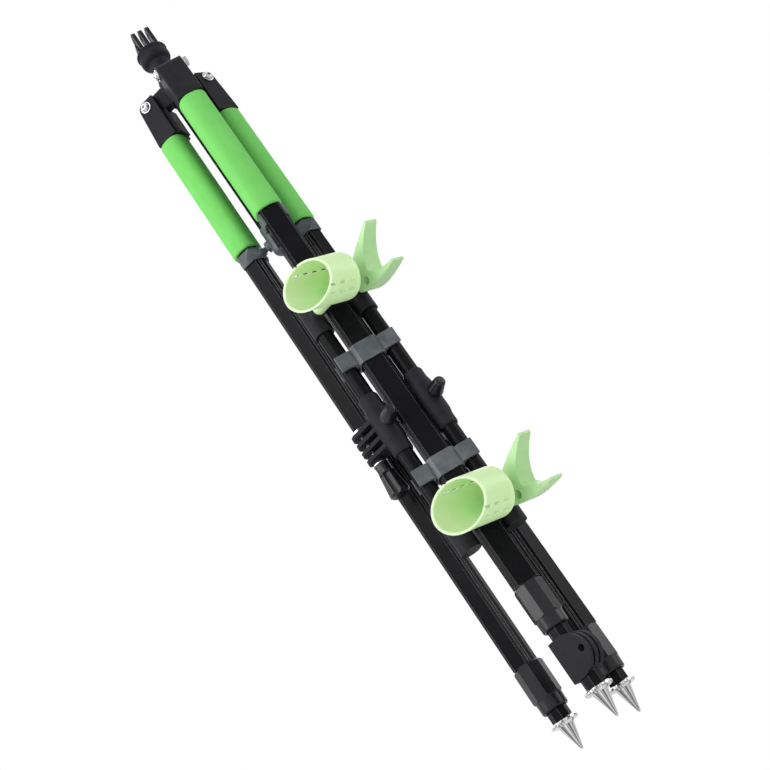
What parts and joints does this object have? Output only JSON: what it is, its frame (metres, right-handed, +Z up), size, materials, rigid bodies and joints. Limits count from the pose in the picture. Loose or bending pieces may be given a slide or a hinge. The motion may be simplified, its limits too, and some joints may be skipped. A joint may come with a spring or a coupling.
{
  "type": "rod pod",
  "caption": "Folding rod pod: telescopic legs hinged round a centre column, with spiked feet, foam grips and stowed bars that carry rod cups and V rests.",
  "frame": {"origin": "tip of the front spike", "axes": "+Z up the front leg, -Y the way the front leg faces, +X to the right seen from the front"},
  "size_m": [0.1154, 0.1487, 0.8733],
  "materials": {
    "moulding": "black glass-filled nylon with a fine moulded grain",
    "extrusion": "black anodised extrusion with fine drawing lines",
    "grey_moulding": "dark grey moulded plastic",
    "fastener": "zinc-plated steel",
    "spike": "turned and chromed",
    "foam": "bright green closed-cell foam",
    "cup": "pale green plastic that lets a little light through",
    "fork": "soft green moulded rubber"
  },
  "bodies": {
    "head": {"hub": "moulding", "column_tube": "extrusion", "column_end_block": "grey_moulding", "crown_stud": "fastener", "pivot_bolt_front": "fastener", "pivot_bolt_left": "fastener", "pivot_bolt_right": "fastener"},
    "crown": {"crown": "moulding"},
    "leg_front": {"leg_bracket_front": "moulding", "outer_leg_front": "extrusion", "foam_grip_front": "foam", "leg_collar_front": "grey_moulding", "lock_collet_front": "grey_moulding", "bar_clip_upper": "grey_moulding", "bar_clip_lower": "grey_moulding"},
    "leg_left": {"leg_bracket_left": "moulding", "outer_leg_left": "extrusion", "foam_grip_left": "foam", "leg_collar_left": "grey_moulding", "lock_collet_left": "grey_moulding"},
    "leg_right": {"leg_bracket_right": "moulding", "outer_leg_right": "extrusion", "foam_grip_right": "foam", "leg_collar_right": "grey_moulding", "lock_collet_right": "grey_moulding"},
    "nut_front": {"twist_nut_front": "moulding"},
    "nut_left": {"twist_nut_left": "moulding"},
    "nut_right": {"twist_nut_right": "moulding"},
    "foot_front": {"inner_leg_front": "extrusion", "foot_plug_front": "moulding", "spike_front": "spike", "foot_knuckle": "moulding"},
    "foot_left": {"inner_leg_left": "extrusion", "foot_plug_left": "moulding", "spike_left": "spike"},
    "foot_right": {"inner_leg_right": "extrusion", "foot_plug_right": "moulding", "spike_right": "spike"},
    "bar_left": {"bar_tube_left": "extrusion", "bar_end_left_upper": "moulding", "bar_end_left_lower": "moulding", "rod_cup_upper": "cup", "rod_cup_lower": "cup"},
    "bar_right": {"bar_tube_right": "extrusion", "bar_end_right_upper": "moulding", "bar_end_right_lower": "moulding", "rod_fork_upper": "fork", "rod_fork_lower": "fork"},
    "clamp_left": {"bar_clamp_left": "moulding", "knuckle_bolt_left": "fastener"},
    "clamp_right": {"bar_clamp_right": "moulding", "knuckle_bolt_right": "fastener"},
    "thumb_left": {"thumb_knob_left": "moulding"},
    "thumb_right": {"thumb_knob_right": "moulding"},
    "knob_left": {"hand_knob_left": "moulding"},
    "knob_right": {"hand_knob_right": "moulding"}
  },
  "joints": [
    {"name": "crown_turn", "type": "hinge", "parent": "head", "child": "crown", "pos_m": [0, 0.034, 0.812], "axis": [0, 0, 1], "range_deg": [-180, 180]},
    {"name": "leg_front_swing", "type": "hinge", "parent": "head", "child": "leg_front", "pos_m": [0, 0, 0.784], "axis": [-1, 0, 0], "range_deg": [0, 25]},
    {"name": "leg_left_swing", "type": "hinge", "parent": "head", "child": "leg_left", "pos_m": [-0.02944, 0.051, 0.784], "axis": [0.5, 0.866, 0], "range_deg": [0, 25]},
    {"name": "leg_right_swing", "type": "hinge", "parent": "head", "child": "leg_right", "pos_m": [0.02944, 0.051, 0.784], "axis": [0.5, -0.866, 0], "range_deg": [0, 25]},
    {"name": "nut_front_turn", "type": "hinge", "parent": "leg_front", "child": "nut_front", "pos_m": [0, 0, 0.109], "axis": [0, 0, 1], "range_deg": [-180, 0]},
    {"name": "nut_left_turn", "type": "hinge", "parent": "leg_left", "child": "nut_left", "pos_m": [-0.02944, 0.051, 0.061], "axis": [0, 0, 1], "range_deg": [-180, 0]},
    {"name": "nut_right_turn", "type": "hinge", "parent": "leg_right", "child": "nut_right", "pos_m": [0.02944, 0.051, 0.061], "axis": [0, 0, 1], "range_deg": [-180, 0]},
    {"name": "leg_front_extend", "type": "slide", "parent": "leg_front", "child": "foot_front", "axis": [0, 0, -1], "range_m": [-0.008, 0.38]},
    {"name": "leg_left_extend", "type": "slide", "parent": "leg_left", "child": "foot_left", "axis": [0, 0, -1], "range_m": [-0.009, 0.4]},
    {"name": "leg_right_extend", "type": "slide", "parent": "leg_right", "child": "foot_right", "axis": [0, 0, -1], "range_m": [-0.009, 0.4]},
    {"name": "bar_left_unclip", "type": "slide", "parent": "leg_front", "child": "bar_left", "axis": [-1, 0, 0], "range_m": [0, 0.06]},
    {"name": "bar_right_unclip", "type": "slide", "parent": "leg_front", "child": "bar_right", "axis": [1, 0, 0], "range_m": [0, 0.06]},
    {"name": "clamp_left_slide", "type": "slide", "parent": "bar_left", "child": "clamp_left", "axis": [0, 0, 1], "range_m": [-0.018, 0.026]},
    {"name": "clamp_right_slide", "type": "slide", "parent": "bar_right", "child": "clamp_right", "axis": [0, 0, 1], "range_m": [-0.018, 0.026]},
    {"name": "thumb_left_turn", "type": "hinge", "parent": "clamp_left", "child": "thumb_left", "pos_m": [-0.01968, -0.01963, 0.322], "axis": [0.1908, -0.9816, 0], "range_deg": [-540, 0]},
    {"name": "thumb_right_turn", "type": "hinge", "parent": "clamp_right", "child": "thumb_right", "pos_m": [0.03067, -0.01867, 0.322], "axis": [0.3584, -0.9336, 0], "range_deg": [-540, 0]},
    {"name": "knob_left_turn", "type": "hinge", "parent": "clamp_left", "child": "knob_left", "pos_m": [-0.0433, 0.0198, 0.28245], "axis": [0, 0, 1], "range_deg": [-540, 0]},
    {"name": "knob_right_turn", "type": "hinge", "parent": "clamp_right", "child": "knob_right", "pos_m": [0.01485, 0.02663, 0.28245], "axis": [0, 0, 1], "range_deg": [-540, 0]}
  ]
}
